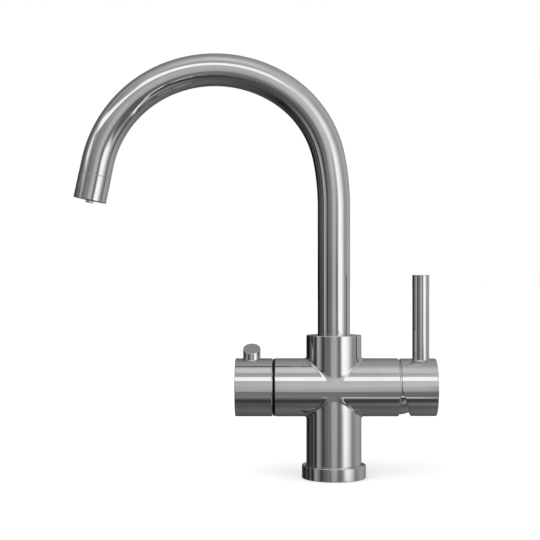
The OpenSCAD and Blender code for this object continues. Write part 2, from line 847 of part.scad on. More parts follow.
module hot_knob() {
  mouth_end = knob_x + knob_mouth_l;
  color(chrome)
    difference() {
      on_arm_left(knob_x) turned(knob_r, knob_l, edge, edge);
      on_arm_left(knob_x - 1) cylinder(r = knob_mouth_r, h = knob_mouth_l + 1);
      on_arm_left(knob_x) cylinder(r = knob_bore_r, h = collar_end_x + run - knob_x);
      on_arm_left(knob_x) cylinder(r = spindle_r + pin_clear, h = spindle_end_x + run - knob_x);
      // Pocket of the safety button and its spring
      translate([-button_x, 0, arm_z + button_pocket]) cylinder(r = button_r + slip, h = far);
      translate([-button_x, 0, arm_z + spring_seat]) cylinder(r = spring_pocket_r, h = far);
      translate([-button_x, 0, arm_z]) cylinder(r = button_stem_r + 0.1, h = far);
      // Tapped hole of the set screw, in the underside
      translate([-knob_screw_x, 0, arm_z - far]) cylinder(r = knob_screw_r, h = far);
    }
}

// Low-friction ring that the knob's mouth runs on
module knob_glide_ring() {
  color(polymer)
    on_arm_left(knob_x + run) ring(knob_mouth_r - pin_clear, spigot_r + swivel_clear, glide_l);
}

module valve_spindle() {
  head_x = valve_x + valve_seal_h + 2 * valve_disc_h;
  color(brass)
    union() {
      on_arm_left(head_x) cylinder(r = valve_disc_r - 0.2, h = 2);
      on_arm_left(head_x) turned(spindle_r, spindle_end_x - head_x, 0, 0.4);
    }
}

module knob_grub_screw() {
  color(steel)
    translate([-knob_screw_x, 0, arm_z - spindle_r - pin_clear])
      rotate([180, 0, 0]) set_screw(knob_screw_r - pin_clear, knob_screw_l, 2);
}

// Push button: a round head with a slanted flat top, and a stem with a groove
module safety_button() {
  head_top = knob_r + button_rise;
  color(chrome)
    translate([-button_x, 0, arm_z])
      difference() {
        union() {
          translate([0, 0, button_under]) turned(button_r, far, 0.3, 0);
          translate([0, 0, button_foot]) turned(button_stem_r, button_under + 1 - button_foot, 0.3, 0);
        }
        translate([0, 0, head_top])
          rotate([button_slope, 0, 0]) translate([-far, -far, 0]) cube([2 * far, 2 * far, 2 * far]);
        translate([0, 0, clip_level]) ring(button_stem_r + 1, button_stem_r - 0.7, clip_h);
      }
}

// Open ring in the groove of the button's stem, which keeps the button in
module button_clip() {
  color(steel)
    translate([-button_x, 0, arm_z + clip_level])
      difference() {
        ring(clip_r, button_stem_r - 0.7 + pin_clear, clip_h);
        translate([0, -1, -1]) cube([clip_r + 1, 2, clip_h + 2]);
      }
}

// Point on a ring of the spring's wire
spring_rest = button_under - spring_seat;
spring_rings = spring_turns * 16;
spring_sides = 6;
function wire_point(i, j) =
  let (
    along = i / spring_rings,
    turn = 360 * spring_turns * along,
    side = 360 * j / spring_sides,
    r = spring_r + spring_wire / 2 * cos(side),
    climb = spring_rest - spring_wire - 0.1
  )
  [r * cos(turn), r * sin(turn), 0.05 + spring_wire / 2 + climb * along + spring_wire / 2 * sin(side)];

module button_spring() {
  points = [for (i = [0 : spring_rings]) for (j = [0 : spring_sides - 1]) wire_point(i, j)];
  walls = [
    for (i = [0 : spring_rings - 1])
      for (j = [0 : spring_sides - 1])
        let (
          a = i * spring_sides + j,
          b = i * spring_sides + (j + 1) % spring_sides,
          c = a + spring_sides,
          d = b + spring_sides
        )
        each [[a, b, d], [a, d, c]]
  ];
  last = spring_rings * spring_sides;
  foot = [for (j = [1 : spring_sides - 2]) [0, j + 1, j]];
  head = [for (j = [1 : spring_sides - 2]) [last, last + j, last + j + 1]];
  color(steel)
    translate([-button_x, 0, arm_z + spring_seat]) polyhedron(points, concat(walls, foot, head));
}

body_casting();
base_ring();
base_gasket();
hot_tube_seal();
spout_grub_screw();
cartridge_housing();
cartridge_seals();
fixed_disc();
cartridge_nut();
dome_cover();
valve_housing();
valve_seal();
valve_fixed_disc();
lock_collar();
red_ring();
spout_tube();
spout_stem();
spout_o_rings();
swivel_bush();
hot_tube();
end_sleeve();
aerator_housing();
aerator_grille();
aerator_seal();
hot_nozzle();
cartridge_carrier();
pivot_pin();
moving_disc();
cartridge_stem();
handle_cap();
lever_rod();
handle_grub_screw();
hot_knob();
knob_glide_ring();
valve_spindle();
valve_moving_disc();
knob_grub_screw();
safety_button();
button_clip();
button_spring();
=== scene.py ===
import json
import logging
import math
from collections.abc import Callable, Sequence
from dataclasses import dataclass
from enum import Enum

import bmesh
import bpy
from mathutils import Matrix, Vector


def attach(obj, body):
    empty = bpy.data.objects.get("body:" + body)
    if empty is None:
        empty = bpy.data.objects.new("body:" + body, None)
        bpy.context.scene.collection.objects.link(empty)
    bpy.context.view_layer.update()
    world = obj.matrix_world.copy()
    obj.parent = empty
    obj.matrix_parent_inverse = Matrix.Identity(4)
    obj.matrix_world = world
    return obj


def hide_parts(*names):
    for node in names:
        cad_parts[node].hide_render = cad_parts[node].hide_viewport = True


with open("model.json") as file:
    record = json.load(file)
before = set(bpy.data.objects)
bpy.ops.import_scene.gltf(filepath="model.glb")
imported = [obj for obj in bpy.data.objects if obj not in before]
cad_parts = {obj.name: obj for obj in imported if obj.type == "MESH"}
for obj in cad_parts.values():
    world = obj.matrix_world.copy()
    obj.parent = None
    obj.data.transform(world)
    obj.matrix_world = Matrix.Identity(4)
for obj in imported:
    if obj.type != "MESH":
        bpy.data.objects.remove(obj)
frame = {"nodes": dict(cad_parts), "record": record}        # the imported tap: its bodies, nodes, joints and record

# A boiling water tap in polished chrome: a swan-neck spout on a cross-shaped
# casting, a mixer lever on the right and the boiling water knob on the left.
# Pieces are shaped in millimetres and stored in metres, in the CAD's frame.

logging.basicConfig(level=logging.INFO, format="%(message)s")
log = logging.getLogger("boiling_water_tap")

# A millimetre in metres, the faces round a turned piece, the least angle of an
# edge that gets rounded, and the height of the arm's axis.
MM = 0.001
ROUND = 128
SHARP_EDGE = math.radians(24)
AXIS_Z = 77.6
# Points this near are welded, or count as lying on a surface; and how far the
# drills start outside of a piece.
WELD = 1e-3
ON_SURFACE = 0.01
OUTSIDE = 40.0
# The span that nearly all of a noise's values lie in, and that of two added.
NOISE_SPAN = (0.3, 0.7)
TWO_NOISES_SPAN = (0.7, 1.3)

Outline = Sequence[tuple[float, float]]
RingRule = Callable[[float], Vector]
Where = Callable[[Vector], bool]
Level = tuple[float, int]
Edges = tuple[float, float, float, float]


class Body(Enum):
    """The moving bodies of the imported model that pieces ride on."""

    TAP = "tap_body"
    SPOUT = "spout"
    HANDLE = "mixer_handle"
    KNOB = "hot_knob"
    BUTTON = "safety_button"


class Slot(Enum):
    """The material slots of the record."""

    CHROME = "chrome_plate"
    BRASS = "brass"
    STEEL = "steel"
    RUBBER = "rubber"
    CERAMIC = "ceramic"
    POLYMER = "white_polymer"
    RED = "red_ring"


# ---------------------------------------------------------------- materials


def linear(hex_colour: str) -> tuple[float, float, float, float]:
    """Turns an sRGB hex colour into linear RGBA.

    Args:
        hex_colour: Six hex digits, such as "D2D4D5".

    Returns:
        Linear red, green, blue and an alpha of 1.
    """
    levels = [int(hex_colour[i:i + 2], 16) / 255 for i in (0, 2, 4)]
    red, green, blue = (
        v / 12.92 if v <= 0.04045 else ((v + 0.055) / 1.055) ** 2.4 for v in levels
    )
    return red, green, blue, 1.0


def add_node(
    tree: bpy.types.NodeTree,
    kind: str,
    settings: dict[str, object] | None = None,
    inputs: dict[str | int, object] | None = None,
) -> bpy.types.Node:
    """Adds one shader node with its settings and links.

    Args:
        tree: The node tree that gets the node.
        kind: Blender's name of the node type.
        settings: Attributes of the node.
        inputs: Values or output sockets, by the input's name or number.

    Returns:
        The new node.
    """
    node = tree.nodes.new(kind)
    for key, value in (settings or {}).items():
        setattr(node, key, value)
    for key, value in (inputs or {}).items():
        if isinstance(value, bpy.types.NodeSocket):
            tree.links.new(value, node.inputs[key])
        else:
            node.inputs[key].default_value = value
    return node


def new_tree(name: str) -> tuple[bpy.types.Material, bpy.types.NodeTree]:
    """Makes an empty node material.

    Args:
        name: The material's name.

    Returns:
        The material and its node tree.
    """
    material = bpy.data.materials.new(name)
    material.use_nodes = True
    material.node_tree.nodes.clear()
    return material, material.node_tree


def fill_ramp(
    node: bpy.types.Node, stops: Sequence[tuple[float, tuple[float, float, float, float]]]
) -> None:
    """Sets the stops of a colour ramp node.

    Args:
        node: The colour ramp node.
        stops: Positions from 0 to 1 in rising order, each with a colour.
    """
    elements = node.color_ramp.elements
    while len(elements) < len(stops):
        elements.new(0.5)
    for element, (place, colour) in zip(elements, stops):
        element.position = place
        element.color = colour


@dataclass(frozen=True)
class Finish:
    """A surface: what it is made of, how it was made and what its detail is.

    Two sizes of detail are laid over each other: a broad cloudy one, which
    stands for handling marks and uneven plating, and a fine one, which is the
    grain or the tool marks of the surface.
    """

    name: str
    slot: Slot
    colour: str
    shade: str
    metallic: float
    roughness: tuple[float, float]
    cloud_mm: float
    grain_mm: float
    bump_mm: float
    ior: float = 1.5

    def material(self) -> bpy.types.Material:
        """Returns the finish's material, made the first time it is asked for."""
        known = bpy.data.materials.get(self.name)
        if known:
            return known
        material, tree = new_tree(self.name)
        place = add_node(tree, "ShaderNodeTexCoord").outputs["Object"]
        clouds = add_node(tree, "ShaderNodeTexNoise", inputs={
            "Vector": place, "Scale": 1 / (self.cloud_mm * MM), "Detail": 4.0, "Roughness": 0.55,
        }).outputs["Fac"]
        grain = add_node(tree, "ShaderNodeTexNoise", inputs={
            "Vector": place, "Scale": 1 / (self.grain_mm * MM), "Detail": 2.0,
        }).outputs["Fac"]
        tint = add_node(tree, "ShaderNodeValToRGB", inputs={"Fac": clouds})
        fill_ramp(tint, list(zip(NOISE_SPAN, (linear(self.shade), linear(self.colour)))))
        both = add_node(tree, "ShaderNodeMath", {"operation": "ADD"}, {0: clouds, 1: grain})
        gloss = add_node(tree, "ShaderNodeMapRange", inputs={
            "Value": both.outputs["Value"],
            "From Min": TWO_NOISES_SPAN[0], "From Max": TWO_NOISES_SPAN[1],
            "To Min": self.roughness[0], "To Max": self.roughness[1],
        })
        bump = add_node(tree, "ShaderNodeBump", inputs={
            "Height": grain, "Distance": self.bump_mm * MM, "Strength": 1.0,
        })
        shader = add_node(tree, "ShaderNodeBsdfPrincipled", inputs={
            "Base Color": tint.outputs["Color"], "Roughness": gloss.outputs["Result"],
            "Normal": bump.outputs["Normal"], "Metallic": self.metallic,
        })
        if not self.metallic:
            shader.inputs["IOR"].default_value = self.ior
        add_node(tree, "ShaderNodeOutputMaterial", inputs={"Surface": shader.outputs["BSDF"]})
        return material


# Chrome plate over polished brass: a clear neutral mirror with the faint clouds
# of wiping cloths and the very shallow waves that the polishing wheel leaves.
CHROME = Finish(
    "polished_chrome_plate", Slot.CHROME, "D6D6D6", "CECECE", 1.0, (0.004, 0.012),
    cloud_mm=22, grain_mm=5, bump_mm=0.0006,
)
# Turned brass, left bare inside the tap: warm, with fine marks from the lathe.
BRASS = Finish(
    "machined_brass", Slot.BRASS, "C8A45C", "B08A45", 1.0, (0.2, 0.34),
    cloud_mm=9, grain_mm=0.5, bump_mm=0.008,
)
# Stainless steel of screws and pins: a plain grey with fine marks from drawing.
STEEL = Finish(
    "drawn_stainless_steel", Slot.STEEL, "B4B7B9", "9CA0A3", 1.0, (0.24, 0.4),
    cloud_mm=5, grain_mm=0.35, bump_mm=0.006,
)
# Moulded EPDM rubber: nearly black, dull, with a dusty bloom in its clouds.
RUBBER = Finish(
    "moulded_epdm_rubber", Slot.RUBBER, "35373A", "1E2022", 0.0, (0.62, 0.85),
    cloud_mm=7, grain_mm=0.45, bump_mm=0.02, ior=1.52,
)
# Lapped alumina ceramic: dense white with a faint warm speckle.
CERAMIC = Finish(
    "lapped_alumina_ceramic", Slot.CERAMIC, "F0EDE6", "E2DED4", 0.0, (0.16, 0.3),
    cloud_mm=6, grain_mm=0.4, bump_mm=0.003, ior=1.76,
)
# Moulded acetal: milky white, with the soft sheen of a waxy plastic.
POLYMER = Finish(
    "moulded_acetal", Slot.POLYMER, "ECEAE4", "DEDBD3", 0.0, (0.34, 0.5),
    cloud_mm=12, grain_mm=0.7, bump_mm=0.008, ior=1.48,
)
# Dyed and sealed anodised ring that marks the boiling side: a deep wine red.
RED = Finish(
    "red_anodised_ring", Slot.RED, "4A0408", "3A0306", 1.0, (0.22, 0.34),
    cloud_mm=6, grain_mm=0.6, bump_mm=0.004,
)
FINISHES = {f.slot.value: f for f in (CHROME, BRASS, STEEL, RUBBER, CERAMIC, POLYMER, RED)}


# ------------------------------------------------------------------- shapes


def discard(spent: bpy.types.Object) -> None:
    """Removes an object and its mesh."""
    mesh = spent.data
    bpy.data.objects.remove(spent)
    bpy.data.meshes.remove(mesh)


def extrude(
    bm: bmesh.types.BMesh, edges: Sequence[bmesh.types.BMEdge]
) -> tuple[list[bmesh.types.BMEdge], list[bmesh.types.BMVert]]:
    """Extrudes edges and leaves the new ones where the old ones are.

    Args:
        bm: The bmesh that the edges belong to.
        edges: The edges.

    Returns:
        The new edges and their vertices.
    """
    made = bmesh.ops.extrude_edge_only(bm, edges=edges)["geom"]
    kinds = (bmesh.types.BMEdge, bmesh.types.BMVert)
    new_edges, new_verts = ([item for item in made if isinstance(item, kind)] for kind in kinds)
    return new_edges, new_verts


def flat_ring(radius: float, height: float) -> RingRule:
    """Rule of a level ring round the Z axis."""
    return lambda a: Vector((radius * math.cos(a), radius * math.sin(a), height))


class Blank:
    """A piece in the making: a bmesh in millimetres, shaped by operators."""

    def __init__(self) -> None:
        """Starts with nothing in it."""
        self.bm = bmesh.new()

    def turn(self, outline: Outline, steps: int = ROUND) -> "Blank":
        """Spins an outline round the Z axis, as a lathe would.

        Args:
            outline: Points of radius and height. It closes on itself unless
                both of its ends lie on the axis.
            steps: Faces all the way round.

        Returns:
            The blank, as every shaping method does.
        """
        verts = [self.bm.verts.new((r, 0, z)) for r, z in outline]
        is_open = outline[0][0] == 0 and outline[-1][0] == 0
        ends = verts[1:] if is_open else verts[1:] + verts[:1]
        edges = [self.bm.edges.new(pair) for pair in zip(verts, ends)]
        bmesh.ops.spin(
            self.bm, geom=[*verts, *edges], cent=(0, 0, 0), axis=(0, 0, 1),
            angle=math.tau, steps=steps, use_merge=True,
        )
        return self.seal()

    def rings(self, rules: Sequence[RingRule], steps: int = ROUND) -> "Blank":
        """Extrudes a circle from ring to ring, and lays each ring by its rule.

        Args:
            rules: For each ring, the point at an angle in radians. A last ring
                that equals the first closes the shape, and one that shrinks
                to a point is a pole.
            steps: Points on each ring.

        Returns:
            The blank.
        """
        angle = self.bm.verts.layers.float.new("angle")
        verts = bmesh.ops.create_circle(self.bm, segments=steps, radius=1)["verts"]
        for vert in verts:
            vert[angle] = math.atan2(vert.co.y, vert.co.x)
            vert.co = rules[0](vert[angle])
        edges = self.bm.edges[:]
        for rule in rules[1:]:
            edges, verts = extrude(self.bm, edges)
            for vert in verts:
                vert.co = rule(vert[angle])
        return self.seal()

    def seal(self, distance: float = 2e-4) -> "Blank":
        """Merges doubles at seams and poles, and turns the faces outwards."""
        bmesh.ops.remove_doubles(self.bm, verts=self.bm.verts[:], dist=distance)
        bmesh.ops.recalc_face_normals(self.bm, faces=self.bm.faces[:])
        return self

    def soften(self, width: float, where: Where = lambda _: True, segments: int = 4) -> "Blank":
        """Rounds the sharp edges.

        Args:
            width: How far the rounding reaches on each side, in millimetres.
            where: Picks edges by their middle.
            segments: Faces across the rounding.

        Returns:
            The blank.
        """
        edges = [
            edge for edge in self.bm.edges
            if edge.is_manifold
            and edge.calc_face_angle() > SHARP_EDGE
            and where((edge.verts[0].co + edge.verts[1].co) / 2)
        ]
        bmesh.ops.bevel(
            self.bm, geom=edges, offset=width, offset_type="OFFSET", segments=segments,
            profile=0.5, affect="EDGES", material=-1, clamp_overlap=True,
        )
        return self

    def place(self, matrix: Matrix) -> "Blank":
        """Moves and turns everything."""
        self.bm.transform(matrix)
        return self

    def cut(self, *tools: "Blank") -> "Blank":
        """Takes the tools' volumes away.

        Args:
            tools: Blanks that are used up, one after the other.

        Returns:
            The blank.
        """
        for tool in tools:
            whole, cutter = self.as_object("blank"), tool.as_object("cutter")
            modifier = whole.modifiers.new("cut", "BOOLEAN")
            modifier.operation, modifier.solver, modifier.object = "DIFFERENCE", "EXACT", cutter
            result = whole.evaluated_get(bpy.context.evaluated_depsgraph_get())
            self.bm = bmesh.new()
            self.bm.from_mesh(result.to_mesh())
            result.to_mesh_clear()
            discard(whole)
            discard(cutter)
        return self

    def as_object(self, name: str) -> bpy.types.Object:
        """Turns the bmesh into an object of the scene, and frees it.

        Args:
            name: The name of the object and its mesh.

        Returns:
            The object.
        """
        mesh = bpy.data.meshes.new(name)
        self.bm.to_mesh(mesh)
        self.bm.free()
        made = bpy.data.objects.new(name, mesh)
        bpy.context.scene.collection.objects.link(made)
        return made

    def finish(
        self,
        name: str,
        coat: Finish,
        body: Body,
        nodes: Sequence[str],
        weighted: bool = True,
    ) -> bpy.types.Object:
        """Makes the finished piece and puts it in the place of its nodes.

        Args:
            name: The piece's name.
            coat: Its surface.
            body: The body that it rides on.
            nodes: The CAD nodes that it stands for.
            weighted: Whether large faces keep their flat look.

        Returns:
            The piece, at the origin, with its place in its mesh.
        """
        bmesh.ops.scale(self.bm, vec=(MM, MM, MM), verts=self.bm.verts[:])
        piece = self.as_object(name)
        piece.data.shade_smooth()
        piece.data.materials.append(coat.material())
        if weighted:
            modifier = piece.modifiers.new("flat_faces", "WEIGHTED_NORMAL")
            modifier.keep_sharp = True
        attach(piece, body.value)
        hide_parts(*nodes)
        log.info("%s: %d faces, %s", name, len(piece.data.polygons), coat.name)
        return piece


def rod(radius: float, low: float, high: float, steps: int = 48) -> Blank:
    """A plain round bar along Z, which drills a hole."""
    return Blank().turn([(0, low), (radius, low), (radius, high), (0, high)], steps)


def on_axis(x: float) -> Matrix:
    """Moves to the arm's axis at x."""
    return Matrix.Translation((x, 0, AXIS_Z))


def along_x(x: float) -> Matrix:
    """Turns +Z to +X, on the arm's axis, and starts at x."""
    return on_axis(x) @ Matrix.Rotation(math.pi / 2, 4, "Y")


def along_left(x: float) -> Matrix:
    """Turns +Z to -X, on the arm's axis, and starts at -x."""
    return on_axis(-x) @ Matrix.Rotation(-math.pi / 2, 4, "Y")


def arc_points(
    centre: tuple[float, float], radius: float, start: float, end: float, count: int
) -> list[tuple[float, float]]:
    """Points of radius and height on a part of a circle.

    Args:
        centre: Radius and height of the circle's centre.
        radius: The circle's radius.
        start: First angle in degrees, 0 along the radius and 90 along the height.
        end: Last angle in degrees.
        count: How many steps lie between them.

    Returns:
        One more point than there are steps.
    """
    angles = (math.radians(start + (end - start) * k / count) for k in range(count + 1))
    return [(centre[0] + radius * math.cos(a), centre[1] + radius * math.sin(a)) for a in angles]


# ------------------------------------------------------------------ casting


@dataclass
class Casting:
    """The cross-shaped body: an upright column and a level arm through it.

    A bore is given by its radius and by the height or distance of its end.
    """

    column_r: float = 23.8
    column_top: float = 122.8
    arm_r: float = 25.05
    arm_left: float = 50.9
    arm_right: float = 55.5
    blend: tuple[float, float] = (1.2, 2.2)
    edge: float = 0.7
    patch: float = 30.0
    socket: tuple[float, float] = (14.08, 95.0)
    tube_seat: tuple[float, float] = (5.6, 89.0)
    nut_mouth: tuple[float, float] = (21.6, 47.0)
    chamber: tuple[float, float] = (17.7, 23.0)
    spigot: tuple[float, float] = (20.0, 56.9)
    valve_mouth: tuple[float, float] = (16.0, 44.0)
    valve_bore: tuple[float, float] = (10.6, 17.0)
    port: tuple[float, float] = (5.0, 14.0)
    ports: tuple[tuple[float, float], ...] = ((0, 0), (-12.5, -7), (12.5, 7))
    stud: tuple[float, float] = (4.0, 16.0)
    stud_y: float = 15.0
    screw_hole: tuple[float, float] = (2.5, 110.8)
    socket_bevel: float = 0.3
    steps: int = 256
    spread: int = 20
    settling_steps: int = 6
    squareness: float = 0.7

    def clearance(self, point: Vector) -> tuple[float, Vector]:
        """Distance to the cross, whose two cylinders melt softly together.

        Args:
            point: A point, measured from where the two axes meet.

        Returns:
            The distance, negative inside, and the way out of the surface.
        """
        column, arm = Vector((point.x, point.y, 0)), Vector((0, point.y, point.z))
        to_column, to_arm = column.length - self.column_r, arm.length - self.arm_r
        near, far = column.normalized(), arm.normalized()
        if to_column > to_arm:
            near, far = far, near
        front, side = self.blend
        aside = min(1.0, abs(point.x) / self.column_r)
        blend = front + (side - front) * aside**4
        apart = abs(to_column - to_arm)
        overlap = max(0.0, 1 - apart / blend)
        distance = min(to_column, to_arm) - overlap**2 * blend / 4
        widening = 4 * (side - front) * aside**3 / self.column_r if aside < 1 else 0.0
        lift = widening * overlap * (overlap / 4 + apart / (2 * blend))
        return distance, near.lerp(far, overlap / 2) - Vector((math.copysign(lift, point.x), 0, 0))

    def settle(self, point: Vector) -> Vector:
        """Moves a point onto the cross by a few steps along the way out.

        Args:
            point: A point near the cross.

        Returns:
            The point on the cross.
        """
        for _ in range(self.settling_steps):
            distance, out = self.clearance(point)
            point = point - out * (distance / out.length_squared)
        return point

    def crossing(self, angle: float, side: int) -> Vector:
        """Finds where the bare column and arm would meet.

        Args:
            angle: Angle round the column, in radians.
            side: 1 for the upper half and -1 for the lower half.

        Returns:
            The point, measured from where the two axes meet.
        """
        across = self.column_r * math.sin(angle)
        height = side * math.sqrt(self.arm_r**2 - across**2)
        return Vector((self.column_r * math.cos(angle), across, height))

    def on_column(self, angle: float, side: int, share: float, end: float) -> Vector:
        """Finds a point on the column, between the crossing and the column's end.

        Args:
            angle: Angle round the column, in radians.
            side: 1 for the upper half and -1 for the lower half.
            share: 0 at the crossing and 1 at the end.
            end: Height of the end.

        Returns:
            The point, melted into the arm where it is near.
        """
        point = self.crossing(angle, side)
        point.z += (end - point.z) * share
        return self.settle(point) if share < 1 else point

    def on_arm(self, angle: float, side: int, share: float) -> Vector:
        """Finds a point on the arm, between the crossing and the patch's border.

        Args:
            angle: Angle round the column, in radians, at the crossing.
            side: 1 for the upper half and -1 for the lower half.
            share: 0 at the crossing and 1 at the border.

        Returns:
            The point, melted into the column where it is near.
        """
        start = self.crossing(angle, side)
        turn = math.atan2(side * start.z, -start.y)
        quarter = math.pi / 4
        size = abs(angle)
        if size <= quarter + 1e-6:
            border, goal = self.patch, math.pi / 2 * (1 + angle / quarter)
        elif size >= 3 * quarter - 1e-6:
            back = (math.pi - size) / quarter
            border, goal = -self.patch, math.pi / 2 * (1 + math.copysign(back, angle))
        else:
            border = self.patch * (2 - size / quarter)
            goal = math.pi if angle > 0 else 0.0
        turn += (goal - turn) * share
        return self.settle(Vector((
            start.x + (border - start.x) * share,
            -self.arm_r * math.cos(turn),
            side * self.arm_r * math.sin(turn),
        )))

    def half(self, side: int) -> Blank:
        """One half of the crossing, with the column that goes up or down.

        Args:
            side: 1 for the upper half and -1 for the lower half.

        Returns:
            The half, open at the patch's border.
        """
        end = self.column_top - AXIS_Z if side > 0 else -AXIS_Z
        turn_in = self.column_r - self.edge
        last = end - side * self.edge
        if side > 0:
            socket_r, seat_r = self.socket[0], self.tube_seat[0]
            floor, seat = self.socket[1] - AXIS_Z, self.tube_seat[1] - AXIS_Z
            rules = [flat_ring(*size) for size in (
                (0, seat), (seat_r, seat), (seat_r, floor), (socket_r, floor),
                (socket_r, end - self.socket_bevel), (socket_r + self.socket_bevel, end),
            )]
        else:
            rules = [flat_ring(0, end)]
        rules += [
            flat_ring(turn_in + self.edge * math.sin(a), last + side * self.edge * math.cos(a))
            for a in (math.pi / 2 * k / 5 for k in range(5))
        ]
        shares = [(k / self.spread) ** 2 for k in range(self.spread + 1)]
        rules += [lambda a, s=s: self.on_column(a, side, s, last) for s in reversed(shares[1:])]
        rules += [lambda a, s=s: self.on_arm(a, side, s) for s in shares]
        return Blank().rings(rules, self.steps)

    def extend_arm(self, blank: Blank, side: int, outline: Outline) -> None:
        """Carries the arm on from the patch to its end and into its bore.

        Args:
            blank: The two halves, welded.
            side: 1 for the lever's end and -1 for the knob's end.
            outline: Radius and distance from the column's axis of each ring.
        """
        edges = [
            edge for edge in blank.bm.edges
            if edge.is_boundary
            and all(v.co.x * side > self.patch - ON_SURFACE for v in edge.verts)
        ]
        for radius, reach in outline:
            edges, verts = extrude(blank.bm, edges)
            for vert in verts:
                around = Vector((0, vert.co.y, vert.co.z)).normalized()
                vert.co = radius * around + Vector((side * reach, 0, 0))

    def rounded_end(self, reach: float) -> list[tuple[float, float]]:
        """Outline of the arm's rounded outer edge."""
        return [
            (self.arm_r, (self.patch + reach) / 2),
            *arc_points((self.arm_r - self.edge, reach - self.edge), self.edge, 0, 90, 5),
        ]

    def build(self) -> None:
        """Shapes the casting and puts it in place."""
        blank = self.half(1)
        lower = self.half(-1).as_object("lower_half")
        blank.bm.from_mesh(lower.data)
        discard(lower)
        bmesh.ops.remove_doubles(blank.bm, verts=blank.bm.verts[:], dist=WELD)
        self.extend_arm(blank, 1, [
            *self.rounded_end(self.arm_right),
            (self.nut_mouth[0], self.arm_right), self.nut_mouth,
            (self.chamber[0], self.nut_mouth[1]), self.chamber, (0, self.chamber[1]),
        ])
        self.extend_arm(blank, -1, [
            *self.rounded_end(self.arm_left),
            (self.spigot[0], self.arm_left), self.spigot, (self.valve_mouth[0], self.spigot[1]),
            self.valve_mouth, (self.valve_bore[0], self.valve_mouth[1]),
            self.valve_bore, (0, self.valve_bore[1]),
        ])
        blank.seal().place(on_axis(0))
        drills = [
            rod(self.port[0], -1, self.port[1]).place(Matrix.Translation((x, y, 0)))
            for x, y in self.ports
        ]
        drills += [
            rod(self.stud[0], -1, self.stud[1]).place(Matrix.Translation((0, y, 0)))
            for y in (-self.stud_y, self.stud_y)
        ]
        backward = Matrix.Rotation(-math.pi / 2, 4, "X")
        screw = rod(self.screw_hole[0], 10, 30, steps=40).place(backward)
        drills.append(screw.place(Matrix.Translation((0, 0, self.screw_hole[1]))))
        blank.cut(*drills)
        piece = blank.finish("casting", CHROME, Body.TAP, ["body_casting"], weighted=False)
        self.true_normals(piece.data)

    def true_normals(self, mesh: bpy.types.Mesh) -> None:
        """Gives the mesh the exact normals of its cylinders and roundings.

        A mirror shows every small error of a normal, and the faces round the
        crossing are uneven, so their averages aren't good enough.

        Args:
            mesh: The casting's mesh, in metres.
        """
        axis = Vector((0, 0, AXIS_Z))
        normals: list[Vector] = [Vector((0, 0, 1))] * len(mesh.loops)
        for face in mesh.polygons:
            for index in face.loop_indices:
                point = mesh.vertices[mesh.loops[index].vertex_index].co / MM - axis
                guesses = self.surface_normals(point)
                fitting = [guess for guess in guesses if guess.dot(face.normal) > self.squareness]
                normals[index] = max(fitting, key=face.normal.dot, default=face.normal)
        mesh.normals_split_custom_set(normals)

    def surface_normals(self, point: Vector) -> list[Vector]:
        """Finds the normals of the true surfaces that a point may lie on.

        Args:
            point: A point, measured from where the two axes meet.

        Returns:
            A normal for each surface that is near enough.
        """
        distance, out = self.clearance(point)
        found = [out.normalized()] if abs(distance) < ON_SURFACE else []
        upright = Vector((point.x, point.y, 0))
        level = Vector((0, point.y, point.z))
        for radius in (self.socket[0], self.tube_seat[0]):
            if abs(upright.length - radius) < ON_SURFACE:
                found.append(-upright.normalized())
        for radius in (self.nut_mouth[0], self.chamber[0], self.spigot[0]):
            if abs(level.length - radius) < ON_SURFACE:
                found += [level.normalized(), -level.normalized()]
        rims = (
            (level, self.arm_r, Vector((1, 0, 0)), self.arm_right),
            (level, self.arm_r, Vector((-1, 0, 0)), self.arm_left),
            (upright, self.column_r, Vector((0, 0, 1)), self.column_top - AXIS_Z),
            (upright, self.column_r, Vector((0, 0, -1)), AXIS_Z),
        )
        for around, radius, way, reach in rims:
            inner, start = radius - self.edge, reach - self.edge
            if way.dot(point) > start - ON_SURFACE and around.length > inner - ON_SURFACE:
                found.append((point - around.normalized() * inner - way * start).normalized())
        return found


@dataclass
class BaseRing:
    """The ring at the tap's foot, and the rubber gasket in its underside."""

    ring_r: float = 27.6
    bore_r: float = 23.85
    height: float = 11.1
    recess: tuple[float, float] = (26.65, 2.0)
    edges: tuple[float, float] = (0.7, 0.4)
    gasket: tuple[float, float, float] = (23.95, 26.6, 2.0)
    gasket_lip: float = 0.3
    gasket_groove: tuple[float, float] = (0.4, 0.35)
    gasket_play: float = 0.1

    def build(self) -> None:
        """Shapes both pieces and puts them in place."""
        recess_r, recess_z = self.recess
        ring = Blank().turn([
            (recess_r, 0), (self.ring_r, 0), (self.ring_r, self.height),
            (self.bore_r, self.height), (self.bore_r, recess_z), (recess_r, recess_z),
        ])
        middle = self.height / 2
        ring.soften(self.edges[0], lambda p: p.z > middle and p.xy.length > self.ring_r - 1)
        ring.soften(self.edges[1], lambda p: p.z < 1 and p.xy.length > self.ring_r - 1)
        ring.finish("base_collar", CHROME, Body.TAP, ["base_ring"])
        inner, outer, height = self.gasket
        centre, top, lip = (inner + outer) / 2, height - self.gasket_play, self.gasket_lip
        width, depth = self.gasket_groove
        Blank().turn([
            (inner, lip), (inner + lip, 0), (centre - width, 0), (centre, depth),
            (centre + width, 0), (outer - lip, 0), (outer, lip), (outer, top), (inner, top),
        ]).finish("foot_gasket", RUBBER, Body.TAP, ["base_gasket"])


# -------------------------------------------------------------------- spout


